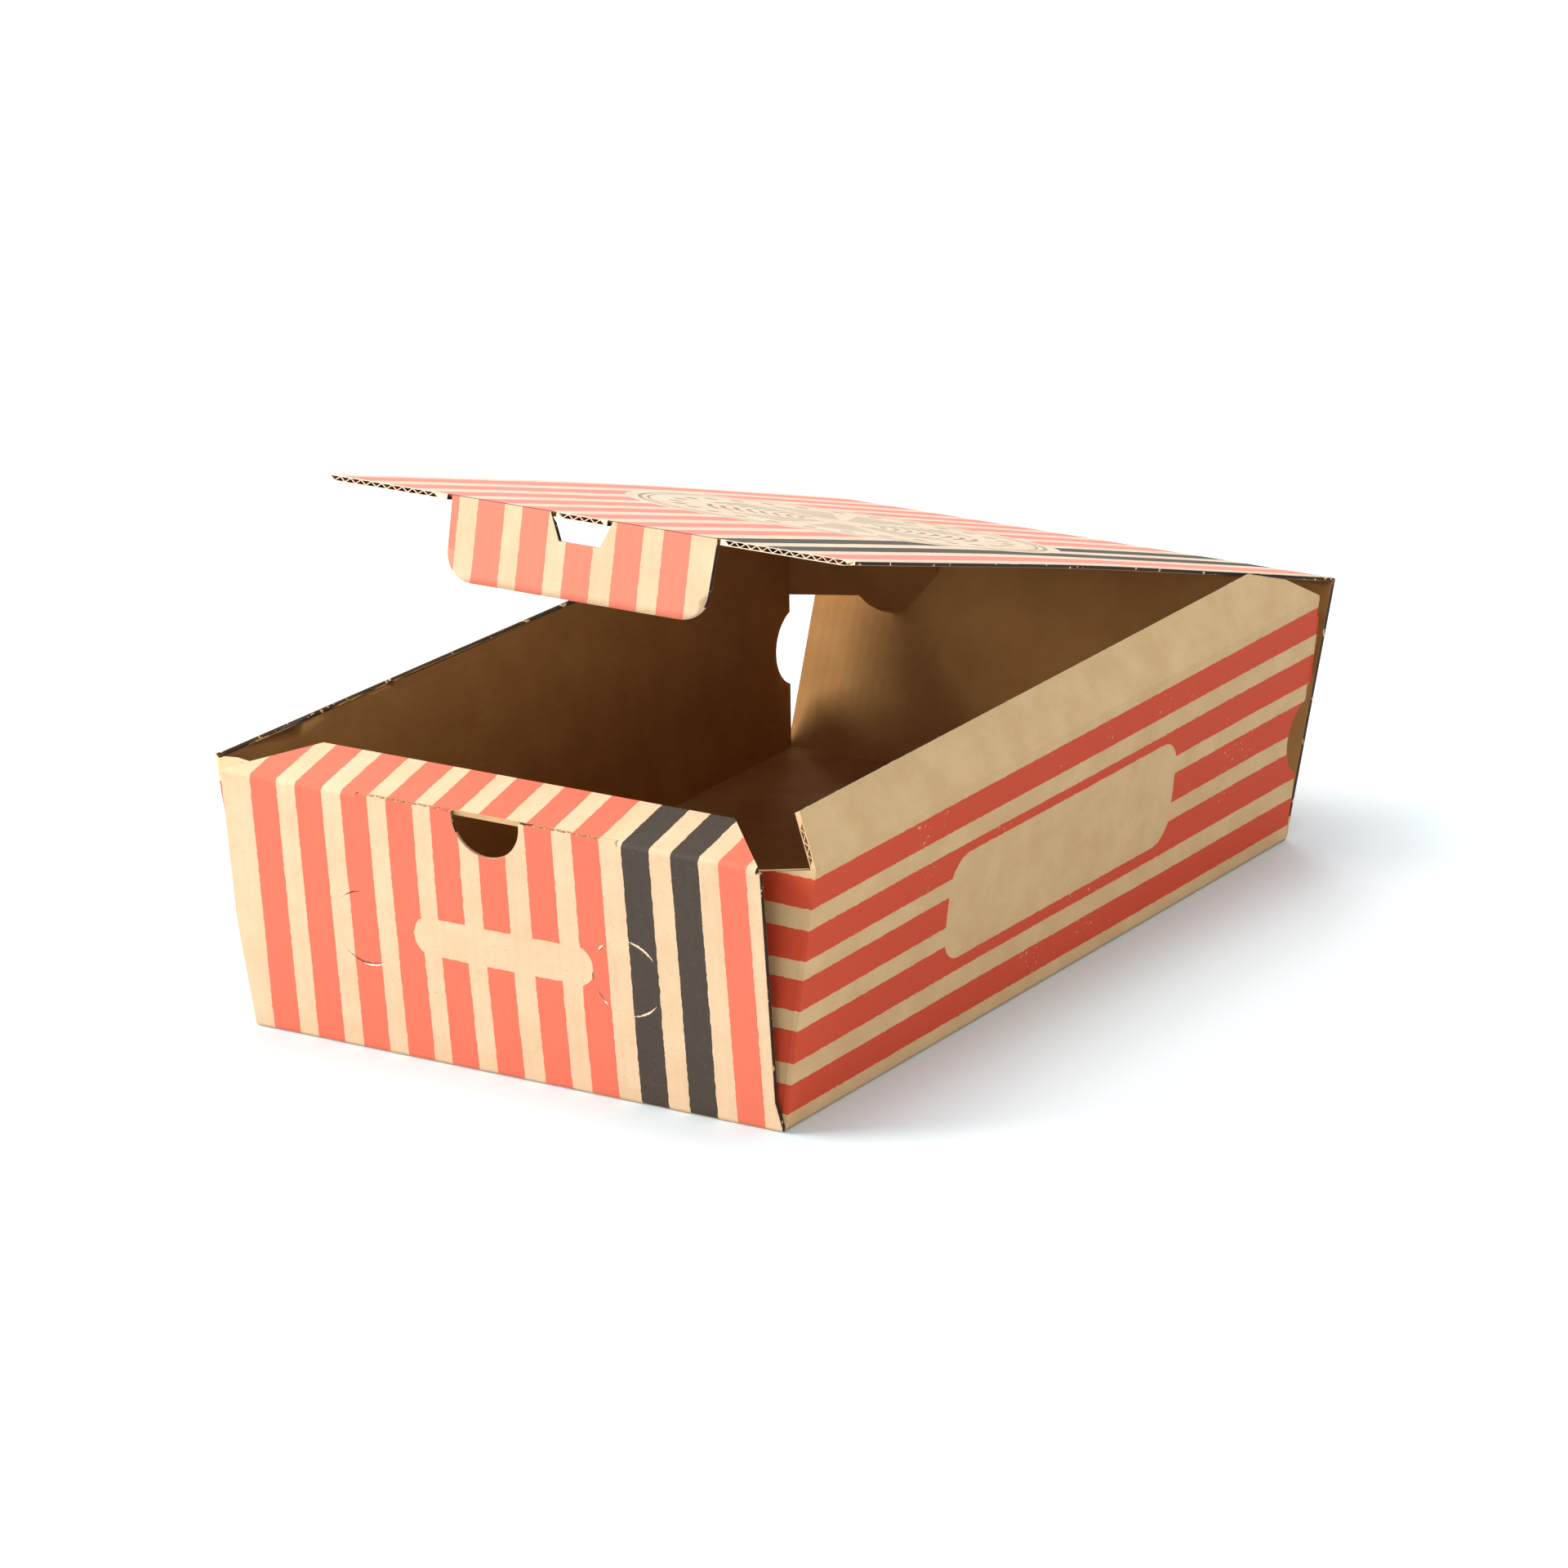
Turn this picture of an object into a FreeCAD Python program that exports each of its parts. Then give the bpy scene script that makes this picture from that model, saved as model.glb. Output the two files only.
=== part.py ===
import FreeCAD, Part
import math
import os
import Sketcher

# A folded pizza box of thin fluted board, standing open. X runs along the front wall, Y from the
# front to the back and Z up. The origin is the middle of the floor's underside.
# The tray is one folded sheet: floor, four walls, front flap, right dust flap and corner tabs.
# The lid hinges on the back wall's top edge and the tuck flap on the lid's front edge.

os.makedirs("parts", exist_ok=True)
doc = FreeCAD.newDocument("pizza_box")
sheet = doc.addObject("Spreadsheet::Sheet", "sizes")

numbers = {
    "board": 1.6,
    "floor_width": 165.0,
    "floor_length": 270.0,
    "front_height": 74.0,
    "front_lean": 6.0,
    "front_left": 85.6,
    "front_right": 81.2,
    "front_foot": 82.2,
    "front_middle": -2.4,
    "front_flap_depth": 20.5,
    "front_flap_rise": 13.6,
    "front_flap_inset": 1.2,
    "front_flap_cut": 19.5,
    "slit_half": 40.5,
    "slit_lip": 1.5,
    "slit_setback": 0.5,
    "thumb_radius": 10.5,
    "thumb_depth": 9.8,
    "vent_spacing": 81.0,
    "vent_drop": 39.6,
    "vent_radius": 10.3,
    "vent_kerf": 0.22,
    "vent_nick": 1.8,
    "back_height": 75.3,
    "back_lean": 21.5,
    "side_height": 73.5,
    "right_lean": 7.7,
    "right_front_setback": 2.3,
    "dust_flap_width": 15.0,
    "dust_flap_lean": 27.0,
    "dust_flap_front_cut": 3.4,
    "dust_flap_rear_cut": 12.5,
    "dust_flap_rear_step": 8.2,
    "dust_flap_rear_slope": 29.0,
    "left_lean_front": 11.7,
    "left_lean_rear": 0.5,
    "left_front_setback": 6.3,
    "rear_notch_level": 31.4,
    "rear_notch_radius": 11.6,
    "rear_notch_depth": 8.4,
    "rear_tab_level": 47.4,
    "rear_tab_length": 44.0,
    "rear_tab_turn": 27.0,
    "rear_tab_drop": 4.2,
    "rear_tab_slope": 9.0,
    "rear_lobe_radius": 12.6,
    "rear_lobe_start": 18.5,
    "front_tab_length": 25.0,
    "front_tab_gap": 0.3,
    "front_tab_fall": 0.21,
    "lid_length": 267.6,
    "lid_width": 163.0,
    "lid_shift": 0.5,
    "lid_open": 15.9,
    "lid_mitre": 57.0,
    "crease_gap": 0.15,
    "tuck_length": 22.4,
    "tuck_half": 41.0,
    "tuck_middle": -0.5,
    "tuck_fold": 92.8,
    "tuck_mitre": 62.0,
    "tuck_corner": 8.0,
    "window_top": 19.0,
    "window_foot": 12.6,
    "window_drop": 7.5,
    "facing": 0.25,
    "flute_pitch": 3.3,
    "flute_depth": 3.0,
}
for row, (alias, number) in enumerate(numbers.items(), start=1):
    sheet.set("A%d" % row, alias)
    sheet.set("B%d" % row, str(number))
    sheet.setAlias("B%d" % row, alias)
doc.recompute()


def size(alias):
    return float(getattr(sheet, alias))


def bound(formula):
    # A formula written with the sheet's words, in the form that an expression needs.
    text = formula
    for alias in sorted(numbers, key=len, reverse=True):
        text = text.replace("$" + alias, "sizes." + alias)
    return text


def make_body(label):
    body = doc.addObject("PartDesign::Body", label)
    body.Label = label
    return body


def own_plane(body, role):
    return [feature for feature in body.Origin.OriginFeatures if feature.Role == role][0]


def make_sketch(body, name, role):
    sketch = body.newObject("Sketcher::SketchObject", name)
    sketch.AttachmentSupport = [(own_plane(body, role), "")]
    sketch.MapMode = "FlatFace"
    return sketch


def outline(body, name, role, *rings):
    # Closed outlines of straight edges. Each corner is a pair of formulas.
    sketch = make_sketch(body, name, role)
    first = 0
    for corners in rings:
        count = len(corners)
        start = []
        for turn in range(count):
            angle = 2.0 * math.pi * turn / count
            start.append(FreeCAD.Vector(
                60.0 + 90.0 * first + 40.0 * math.cos(angle), 60.0 + 40.0 * math.sin(angle), 0))
        for turn in range(count):
            sketch.addGeometry(Part.LineSegment(start[turn], start[(turn + 1) % count]), False)
        for turn in range(count):
            sketch.addConstraint(Sketcher.Constraint(
                "Coincident", first + turn, 2, first + (turn + 1) % count, 1))
        for turn, (across, along) in enumerate(corners):
            for kind, formula, value in (("DistanceX", across, start[turn].x),
                                         ("DistanceY", along, start[turn].y)):
                index = sketch.addConstraint(Sketcher.Constraint(kind, -1, 1, first + turn, 1, value))
                sketch.setExpression("Constraints[%d]" % index, bound(formula))
        first += count
    doc.recompute()
    return sketch


def pad(body, name, sketch, formula, downward=False):
    feature = body.newObject("PartDesign::Pad", name)
    feature.Profile = sketch
    feature.setExpression("Length", bound(formula))
    feature.Reversed = downward
    doc.recompute()
    return feature


def pocket(body, name, sketch, formula=None, both_ways=True):
    # A cut through everything, or to a depth given by a formula.
    feature = body.newObject("PartDesign::Pocket", name)
    feature.Profile = sketch
    if formula is None:
        feature.Type = 1
    else:
        feature.setExpression("Length", bound(formula))
    if both_ways:
        feature.Midplane = True
    doc.recompute()
    return feature


def flute_mouths(body, name, role, level, start, run, near, far, reverse=False):
    # Open ends of the flutes along a cut edge: hollows of three sides that point to one facing and
    # to the other in turn, cut into the board's thickness between its two facings.
    facing = "$facing"
    slim = "$facing * 1.2"
    low = "(%s + %s)" % (near, facing)
    high = "(%s - %s)" % (far, facing)
    half = "$flute_pitch / 2"
    first = [(start + " + " + slim, low), (start + " + $flute_pitch - " + slim, low),
             (start + " + " + half, "(%s - %s * 0.4)" % (high, facing))]
    second = [(start + " + " + half + " + " + slim, high),
              (start + " + $flute_pitch", "(%s + %s * 0.4)" % (low, facing)),
              (start + " + 1.5 * $flute_pitch - " + slim, high)]
    sketch = outline(body, name + "_section", role, first, second)
    sketch.setExpression("AttachmentOffset.Base.z", bound(level))
    feature = body.newObject("PartDesign::Pocket", name)
    feature.Profile = sketch
    feature.setExpression("Length", bound("$flute_depth"))
    feature.Reversed = reverse
    doc.recompute()
    pattern = body.newObject("PartDesign::LinearPattern", name + "_row")
    pattern.Originals = [feature]
    pattern.Direction = (sketch, ["H_Axis"])
    pattern.setExpression("Occurrences", bound("floor((%s) / $flute_pitch - 0.6)" % run))
    pattern.setExpression("Length", bound(
        "$flute_pitch * (floor((%s) / $flute_pitch - 0.6) - 1)" % run))
    body.Tip = pattern
    doc.recompute()
    return pattern


def turned_about_x(x, y, z, angle, first_turn=0):
    return placement_text(x, y, z, "1; 0; 0", angle, first_turn)


def turned_about_y(x, y, z, angle, first_turn=0):
    return placement_text(x, y, z, "0; 1; 0", angle, first_turn)


def placement_text(x, y, z, axis, angle, first_turn):
    base = "create(<<vector>>; %s; %s; %s)" % (x, y, z)
    turn = "create(<<rotation>>; create(<<vector>>; %s); %s)" % (axis, angle)
    if first_turn:
        turn += " * create(<<rotation>>; create(<<vector>>; 1; 1; 1); %d)" % first_turn
    return bound("create(<<placement>>; %s; %s)" % (base, turn))


def fold(label, length, sweep, where):
    # The rounded outside of a fold: a sector about the fold's inner line.
    cylinder = doc.addObject("Part::Cylinder", label)
    cylinder.setExpression("Radius", bound("$board"))
    cylinder.setExpression("Height", bound(length))
    cylinder.setExpression("Angle", bound(sweep))
    cylinder.setExpression("Placement", where)
    return cylinder


def solid_between(label, first, second):
    # A board piece whose section changes evenly from one polygon to the next.
    wires = [Part.makePolygon([FreeCAD.Vector(*corner) for corner in ring + ring[:1]])
             for ring in (first, second)]
    feature = doc.addObject("Part::Feature", label)
    feature.Shape = Part.makeLoft(wires, True, True)
    return feature


# Floor, between the inner lines of its four folds.
floor = make_body("floor")
half_x = "$floor_width / 2 - $board"
half_y = "$floor_length / 2 - $board"
floor_sketch = outline(floor, "floor_outline", "XY_Plane", [
    ("-(%s)" % half_x, "-(%s)" % half_y), (half_x, "-(%s)" % half_y),
    (half_x, half_y), ("-(%s)" % half_x, half_y)])
pad(floor, "floor_pad", floor_sketch, "$board")

# Front wall with its raised lip in the slit, thumb notch, and two round vents on nicks.
front_rise = "$front_height - 1.8 * $board"
front_wall = make_body("front_wall")
front_sketch = outline(front_wall, "front_outline", "XY_Plane", [
    ("-$front_foot", "0"), ("$front_foot", "0"), ("$front_right - 0.6", "7"),
    ("$front_right", front_rise),
    ("$front_middle + $slit_half", front_rise),
    ("$front_middle + $slit_half", front_rise + " + $slit_lip - 0.6"),
    ("$front_middle + $slit_half - 0.6", front_rise + " + $slit_lip"),
    ("$front_middle - $slit_half + 0.6", front_rise + " + $slit_lip"),
    ("$front_middle - $slit_half", front_rise + " + $slit_lip - 0.6"),
    ("$front_middle - $slit_half", front_rise),
    ("-$front_left", front_rise), ("-$front_left + 0.4", "30")])
pad(front_wall, "front_pad", front_sketch, "$board")
flute_mouths(front_wall, "lip_flutes", "XZ_Plane", "-(%s + $slit_lip)" % front_rise,
             "$front_middle - $slit_half + 2", "2 * $slit_half - 4", "0", "$board", reverse=True)
front_wall.setExpression("Placement", turned_about_x(
    "0", "-(%s)" % half_y, "$board", "90 + $front_lean"))

# Front flap, folded in over the box, set back along the slit.
flap_reach = "$front_flap_depth - 0.9 * $board"
front_flap = make_body("front_flap")
flap_sketch = outline(front_flap, "front_flap_outline", "XY_Plane", [
    ("-$front_left + $front_flap_inset", "0"),
    ("$front_middle - $slit_half", "0"),
    ("$front_middle - $slit_half", "$slit_setback"),
    ("$front_middle + $slit_half", "$slit_setback"),
    ("$front_middle + $slit_half", "0"),
    ("$front_right - $front_flap_inset", "0"),
    ("$front_right - $front_flap_cut", flap_reach),
    ("-$front_left + $front_flap_cut", flap_reach)])
pad(front_flap, "front_flap_pad", flap_sketch, "$board")
flute_mouths(front_flap, "flap_flutes", "XZ_Plane", "-(%s)" % flap_reach,
             "-$front_left + $front_flap_cut + 0.5",
             "$front_left + $front_right - 2 * $front_flap_cut - 1", "0", "$board", reverse=True)
top_y = "(-(%s) - (%s) * sin($front_lean))" % (half_y, front_rise)
top_z = "($board + (%s) * cos($front_lean))" % front_rise
front_flap.setExpression("Placement", turned_about_x("0", top_y, top_z, "$front_flap_rise"))

folds = [
    fold("front_foot_fold", "2 * $front_foot", "90 - $front_lean", turned_about_x(
        "-$front_foot", "-(%s)" % half_y, "$board", "180 + $front_lean", 120)),
    fold("front_top_fold_left", "$front_left - $front_flap_inset + $front_middle - $slit_half",
         "90 + $front_lean - $front_flap_rise", turned_about_x(
             "-$front_left + $front_flap_inset", top_y, top_z, "90 + $front_flap_rise", 120)),
    fold("front_top_fold_right", "$front_right - $front_flap_inset - $front_middle - $slit_half",
         "90 + $front_lean - $front_flap_rise", turned_about_x(
             "$front_middle + $slit_half", top_y, top_z, "90 + $front_flap_rise", 120)),
    fold("back_foot_fold", "$floor_width - 1", "90 - $back_lean", turned_about_x(
        "-$floor_width / 2 + 0.5", half_y, "$board", "270", 120)),
]

# Back wall, its top edge mitred on the inside for the lid's crease.
back_rise = "$back_height - $board"
back_wall = make_body("back_wall")
back_sketch = outline(back_wall, "back_outline", "XY_Plane", [
    ("-$floor_width / 2 + 0.5", "0"), ("$floor_width / 2 - 0.5", "0"),
    ("$floor_width / 2", back_rise + " - $crease_gap"),
    ("-$floor_width / 2", back_rise + " - $crease_gap")])
pad(back_wall, "back_pad", back_sketch, "$board", downward=True)
mitre_sketch = outline(back_wall, "back_mitre", "YZ_Plane", [
    (back_rise + " - $crease_gap", "-$board"),
    (back_rise + " + 1", "-$board"),
    (back_rise + " + 1", "0.5"),
    (back_rise + " - $crease_gap - ($board + 0.5) * tan($lid_mitre)", "0.5")])
pocket(back_wall, "back_mitre_cut", mitre_sketch)
back_wall.setExpression("Placement", turned_about_x("0", half_y, "$board", "90 - $back_lean"))

# Right wall and its dust flap.
right_rise = "$side_height - 1.2 * $board"
right_wall = make_body("right_wall")
right_sketch = outline(right_wall, "right_outline", "XY_Plane", [
    ("-(%s)" % half_y, "0"), (half_y, "0"), ("$floor_length / 2 - 0.3", right_rise),
    ("-$floor_length / 2 + $right_front_setback", right_rise)])
pad(right_wall, "right_pad", right_sketch, "$board")
flute_mouths(right_wall, "right_rear_flutes", "YZ_Plane", half_y, "0.6",
             "$rear_tab_level - $board - 1", "0", "$board")
right_wall.setExpression("Placement", turned_about_y(half_x, "0", "$board", "$right_lean", 120))

dust_reach = "$dust_flap_width - 0.3 * $board"
dust_flap = make_body("dust_flap")
dust_front = "-$floor_length / 2 + $right_front_setback"
dust_sketch = outline(dust_flap, "dust_flap_outline", "XY_Plane", [
    (dust_front, "0"), ("$floor_length / 2 - 0.3", "0"),
    ("$floor_length / 2 - 0.3 - $dust_flap_rear_cut", "$dust_flap_rear_step"),
    ("$floor_length / 2 - 0.3 - $dust_flap_rear_slope", dust_reach),
    (dust_front + " + $dust_flap_front_cut", dust_reach)])
pad(dust_flap, "dust_flap_pad", dust_sketch, "$board")
flute_mouths(dust_flap, "dust_flap_flutes", "YZ_Plane", dust_front, "0.3",
             dust_reach + " - 0.3", "0", "$board", reverse=True)
crease_x = "(%s + (%s) * sin($right_lean))" % (half_x, right_rise)
crease_z = "($board + (%s) * cos($right_lean))" % right_rise
dust_flap.setExpression("Placement", turned_about_y(crease_x, "0", crease_z, "-$dust_flap_lean", 120))
folds.append(fold("right_foot_fold", "2 * (%s)" % half_y, "90 - $right_lean", turned_about_y(
    half_x, "-(%s)" % half_y, "$board", "90 + $right_lean", 240)))
folds.append(fold(
    "right_top_fold", "$floor_length - 0.3 - $right_front_setback",
    "$right_lean + $dust_flap_lean", turned_about_y(
        crease_x, dust_front, crease_z, "90 - $dust_flap_lean", 240)))
doc.recompute()

# The pieces below are twisted or set at odd angles, so they are worked out point by point.
board = size("board")
side_x = size("floor_width") / 2 - board
side_y = size("floor_length") / 2 - board


def left_section(lean_degrees, y_foot, y_top):
    # Left wall's section with its rounded foot, from the floor's fold to the raw top edge.
    lean = math.radians(lean_degrees)
    rise = size("side_height") - 0.9 * board
    ring = [(-side_x, y_foot, board), (-side_x + 0.3, y_foot, board), (-side_x + 0.3, y_foot, 0.0)]
    for step in range(5):
        angle = math.radians(270) - step / 4.0 * (math.radians(90) - lean)
        ring.append((-side_x + board * math.cos(angle), y_foot, board + board * math.sin(angle)))
    out_x = -side_x - board * math.cos(lean) - rise * math.sin(lean)
    out_z = board - board * math.sin(lean) + rise * math.cos(lean)
    ring.append((out_x, y_top, out_z))
    ring.append((-side_x - rise * math.sin(lean), y_top, board + rise * math.cos(lean)))
    # All corners are brought into the section's slanting plane.
    slope = (y_top - y_foot) / out_z
    return [(x, y_foot + slope * z, z) for x, y, z in ring]


front_y_foot = -size("floor_length") / 2 + board
front_y_top = -size("floor_length") / 2 + size("left_front_setback")
left_wall = solid_between(
    "left_wall",
    left_section(size("left_lean_front"), front_y_foot, front_y_top),
    left_section(size("left_lean_rear"), side_y, size("floor_length") / 2 - 0.3))


def rear_tab(label, side, lean_degrees):
    # Corner tab on a side wall's rear edge, turned in and back until it rests on the back wall.
    lean = math.radians(lean_degrees)
    turn = math.radians(size("rear_tab_turn"))
    top = size("side_height") - 1.2 * board
    low = size("rear_tab_level")
    reach = size("rear_tab_length")
    start = size("rear_lobe_start")
    radius = size("rear_lobe_radius")
    root = FreeCAD.Vector(side * (size("floor_width") / 2 - board / 2), size("floor_length") / 2 - 0.9, 0)
    up = FreeCAD.Vector(side * math.sin(lean), 0, math.cos(lean))
    along = FreeCAD.Vector(-side * math.cos(turn), math.sin(turn), 0)
    normal = along.cross(up)
    normal.normalize()
    if normal.y < 0:
        normal = normal * -1

    def point(distance, height):
        return root + up * height + along * distance

    drop = size("rear_tab_slope")
    middle = start + radius
    centre = low + radius * 0.58
    first = math.asin(0.58)
    lobe = []
    for step in range(9):
        angle = math.pi + first + (math.pi - first) * step / 8.0
        lobe.append(point(middle + radius * math.cos(angle), centre + radius * math.sin(angle)))
    corners = [point(0, low), *lobe, point(reach - 3, top - drop - 3), point(reach - 8, top - drop)]
    corners.append(point(0, top - size("rear_tab_drop")))
    face = Part.Face(Part.makePolygon(corners + corners[:1]))
    feature = doc.addObject("Part::Feature", label)
    feature.Shape = face.extrude(normal * board)
    return feature


rear_tab_right = rear_tab("rear_tab_right", 1, size("right_lean"))
rear_tab_left = rear_tab("rear_tab_left", -1, size("left_lean_rear"))


def front_tab(label, foot, head, z_foot, z_head, fall=0.0):
    # Corner tab behind the front wall: outer path at foot and head, thickened towards the inside.
    # Its top edge may fall evenly away from the corner.
    rings = []
    for path, level, slope in ((foot, z_foot, 0.0), (head, z_head, fall)):
        back = []
        for index, (x, y) in enumerate(path):
            near = path[max(index - 1, 0)]
            far = path[min(index + 1, len(path) - 1)]
            run = math.hypot(far[0] - near[0], far[1] - near[1])
            side = -1 if path[-1][0] < path[0][0] else 1
            back.append((x - side * board * (far[1] - near[1]) / run,
                         y + side * board * (far[0] - near[0]) / run))
        start = path[0][0]
        inward = 1 if path[-1][0] < start else -1
        rings.append([(x, y, level - slope * inward * (start - x)) for x, y in path + back[::-1]])
    return solid_between(label, rings[0], rings[1])


wall_y_foot = -side_y - 1.0 * math.tan(math.radians(size("front_lean"))) + size("front_tab_gap")
top_level = board + (size("side_height") - 1.2 * board) * math.cos(math.radians(size("right_lean")))
wall_y_top = -side_y - (top_level - board) * math.tan(math.radians(size("front_lean")))
wall_y_top = wall_y_top + size("front_tab_gap")
tab = size("front_tab_length")
right_top_x = size("floor_width") / 2 + (top_level - 1) * math.tan(math.radians(size("right_lean")))
right_front_y = -size("floor_length") / 2 + size("right_front_setback")
front_tab_right = front_tab(
    "front_tab_right",
    [(side_x + 1.2, wall_y_foot + 0.1), (side_x - 9, wall_y_foot), (side_x - tab, wall_y_foot)],
    [(right_top_x, right_front_y), (right_top_x - 10.4, right_front_y + 0.7),
     (right_top_x - tab, right_front_y + 1.7)],
    board + 1.0, top_level, size("front_tab_fall"))
left_lean = math.radians(size("left_lean_front"))
left_level = board + (size("side_height") - 0.9 * board) * math.cos(left_lean)
left_top_x = -side_x - board - (size("side_height") - 0.9 * board) * math.sin(left_lean)
front_tab_left = front_tab(
    "front_tab_left",
    [(-side_x - 1.2, wall_y_foot + 0.1), (-side_x + 9, wall_y_foot), (-side_x + tab, wall_y_foot)],
    [(left_top_x, front_y_top), (left_top_x + 10, front_y_top - 2.4), (left_top_x + tab, front_y_top - 6)],
    board + 1.0, left_level)

# Cuts through the sheet: thumb notch, round vents and the half-moons in the side walls' rear edges.


def cutter(label, kind, settings, where):
    tool = doc.addObject(kind, label)
    for name, formula in settings.items():
        tool.setExpression(name, bound(formula))
    tool.setExpression("Placement", where)
    return tool


def on_front_wall(across, up):
    # A cylinder's place, square to the front wall, at a distance across and up its inner face.
    y = "(-(%s) - (%s) * sin($front_lean) + 4 * cos($front_lean))" % (half_y, up)
    z = "($board + (%s) * cos($front_lean) + 4 * sin($front_lean))" % up
    return turned_about_x(across, y, z, "90 + $front_lean")


thumb = cutter("thumb_notch", "Part::Cylinder", {"Radius": "$thumb_radius", "Height": "9"},
               on_front_wall("$front_middle", front_rise + " - $thumb_depth + $thumb_radius"))
thumb_top = cutter("thumb_notch_mouth", "Part::Box",
                   {"Length": "2 * $thumb_radius", "Width": "8", "Height": "9"},
                   on_front_wall("$front_middle - $thumb_radius",
                                 front_rise + " - $thumb_depth + $thumb_radius"))
tools = [thumb, thumb_top]
vent_up = "$front_height - $vent_drop"
for word, side in (("left", "-"), ("right", "+")):
    centre = "$front_middle %s $vent_spacing / 2" % side
    outer = cutter("vent_outer_" + word, "Part::Cylinder",
                   {"Radius": "$vent_radius", "Height": "9"}, on_front_wall(centre, vent_up))
    inner = cutter("vent_inner_" + word, "Part::Cylinder",
                   {"Radius": "$vent_radius - $vent_kerf", "Height": "9"},
                   on_front_wall(centre, vent_up))
    nick_across = cutter("vent_nick_across_" + word, "Part::Box",
                         {"Length": "2 * $vent_radius + 2", "Width": "$vent_nick", "Height": "9"},
                         on_front_wall(centre + " - $vent_radius - 1", vent_up + " - $vent_nick / 2"))
    nick_up = cutter("vent_nick_up_" + word, "Part::Box",
                     {"Length": "$vent_nick", "Width": "2 * $vent_radius + 2", "Height": "9"},
                     on_front_wall(centre + " - $vent_nick / 2", vent_up + " - $vent_radius - 1"))
    kept = doc.addObject("Part::MultiFuse", "vent_kept_" + word)
    kept.Shapes = [inner, nick_across, nick_up]
    ring = doc.addObject("Part::Cut", "vent_ring_" + word)
    ring.Base = outer
    ring.Tool = kept
    tools.append(ring)
side_walls = []
for word, side, wall in (("left", "-", left_wall), ("right", "", right_wall)):
    notch = cutter(
        "rear_notch_" + word, "Part::Cylinder",
        {"Radius": "$rear_notch_radius", "Height": "30"},
        turned_about_y("%s$floor_width / 2 - 15" % side,
                       "$floor_length / 2 + $rear_notch_radius - $rear_notch_depth",
                       "$rear_notch_level", "90"))
    notched = doc.addObject("Part::Cut", "notched_wall_" + word)
    notched.Base = wall
    notched.Tool = notch
    side_walls.append(notched)

# One sheet: all panels and folds joined, then cut.
joined = doc.addObject("Part::MultiFuse", "folded_sheet")
joined.Shapes = [floor, front_wall, front_flap, back_wall, dust_flap, *side_walls,
                 rear_tab_right, rear_tab_left, front_tab_right, front_tab_left, *folds]
joined.Refine = True
all_tools = doc.addObject("Part::MultiFuse", "all_cuts")
all_tools.Shapes = tools
tray = doc.addObject("Part::Cut", "tray")
tray.Base = joined
tray.Tool = all_tools
doc.recompute()

# Lid: a flat panel about the crease on the back wall, mitred on the inside at both creases.
lid = make_body("lid")
lid_sketch = outline(lid, "lid_outline", "XY_Plane", [
    ("$lid_shift - $lid_width / 2", "$crease_gap"), ("$lid_shift + $lid_width / 2", "$crease_gap"),
    ("$lid_shift + $lid_width / 2", "$lid_length - $crease_gap"),
    ("$lid_shift - $lid_width / 2", "$lid_length - $crease_gap")])
pad(lid, "lid_pad", lid_sketch, "$board")
rear_mitre = outline(lid, "lid_rear_mitre", "YZ_Plane", [
    ("$crease_gap", "0"), ("-1", "0"), ("-1", "$board + 0.5"),
    ("$crease_gap + ($board + 0.5) * tan($lid_mitre)", "$board + 0.5")])
pocket(lid, "lid_rear_mitre_cut", rear_mitre)
for word, from_x, run, downward in (
        ("left", "$tuck_middle + 1 - $window_top / 2",
         "$tuck_half + 2.6 - $window_top / 2", False),
        ("right", "$tuck_middle - 2.2 + $window_top / 2",
         "$tuck_half + 3.2 - $window_top / 2", True)):
    front_mitre = outline(lid, "lid_front_mitre_" + word, "YZ_Plane", [
        ("$lid_length - $crease_gap", "0"), ("$lid_length + 1", "0"),
        ("$lid_length + 1", "$board + 0.5"),
        ("$lid_length - $crease_gap - ($board + 0.5) * tan($tuck_mitre)", "$board + 0.5")])
    front_mitre.setExpression("AttachmentOffset.Base.z", bound(from_x))
    mitred = pocket(lid, "lid_front_mitre_cut_" + word, front_mitre, run, both_ways=False)
    mitred.Reversed = downward
    doc.recompute()
flute_mouths(lid, "lid_flutes_window", "XZ_Plane", "-($lid_length - $crease_gap)",
             "$tuck_middle + 1.4 - $window_top / 2", "$window_top - 2.6", "0", "$board", reverse=True)
flute_mouths(lid, "lid_flutes_left", "XZ_Plane", "-($lid_length - $crease_gap)",
             "$lid_shift - $lid_width / 2 + 0.5", "$lid_width / 2 - $lid_shift - $tuck_half - 2",
             "0", "$board", reverse=True)
flute_mouths(lid, "lid_flutes_right", "XZ_Plane", "-($lid_length - $crease_gap)",
             "$tuck_half + 1.5", "$lid_width / 2 + $lid_shift - $tuck_half - 2",
             "0", "$board", reverse=True)
hinge_y = "(%s + $board * cos($back_lean) + (%s) * sin($back_lean))" % (half_y, back_rise)
hinge_z = "($board - $board * sin($back_lean) + (%s) * cos($back_lean))" % back_rise
lid.setExpression("Placement", turned_about_x("0", hinge_y, hinge_z, "180 - $lid_open"))

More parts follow.
